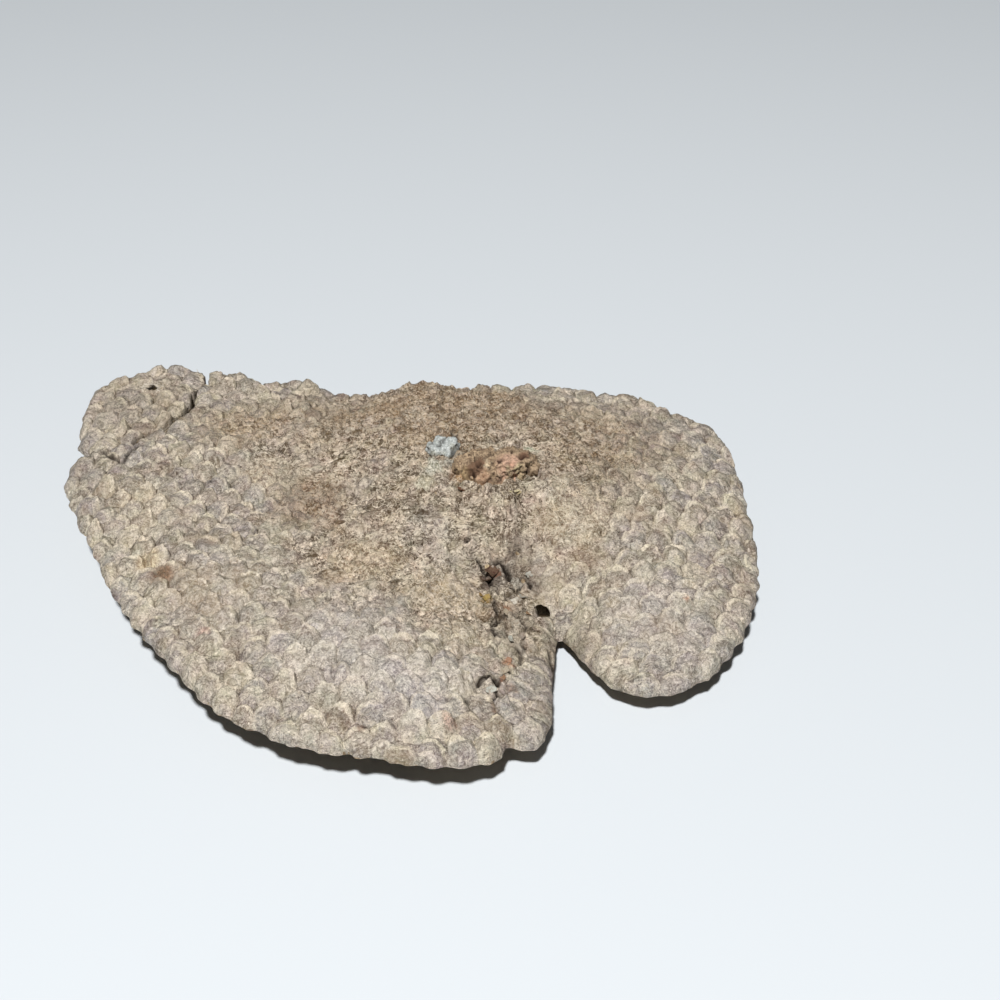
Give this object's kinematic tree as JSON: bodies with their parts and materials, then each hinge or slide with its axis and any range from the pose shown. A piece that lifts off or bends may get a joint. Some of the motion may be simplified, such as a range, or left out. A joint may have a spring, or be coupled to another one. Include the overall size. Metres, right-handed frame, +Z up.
{
  "type": "hornet nest",
  "caption": "Paper comb from a hornet nest: kidney-shaped scalloped roof with a pillar stub, a deep notch, a cracked-off corner and open cells beneath.",
  "frame": {"origin": "under the middle of the bounding box, on the level cell mouths that it rests on", "axes": "+X along the comb's length, towards the lobe right of the notch; +Y to its back rim; +Z up, from the cells to the roof"},
  "size_m": [0.2504, 0.212, 0.0441],
  "materials": {
    "comb_paper": "matt fibrous wood-pulp paper, banded cream, taupe and grey",
    "pillar_paper": "matt torn wood-pulp paper, pinkish brown with dark pits",
    "grey_paper": "matt blue-grey paper, crackled"
  },
  "bodies": {
    "root": {"comb": "comb_paper", "broken_corner": "comb_paper", "pillar_stub": "pillar_paper", "grey_cake": "grey_paper"}
  },
  "joints": []
}
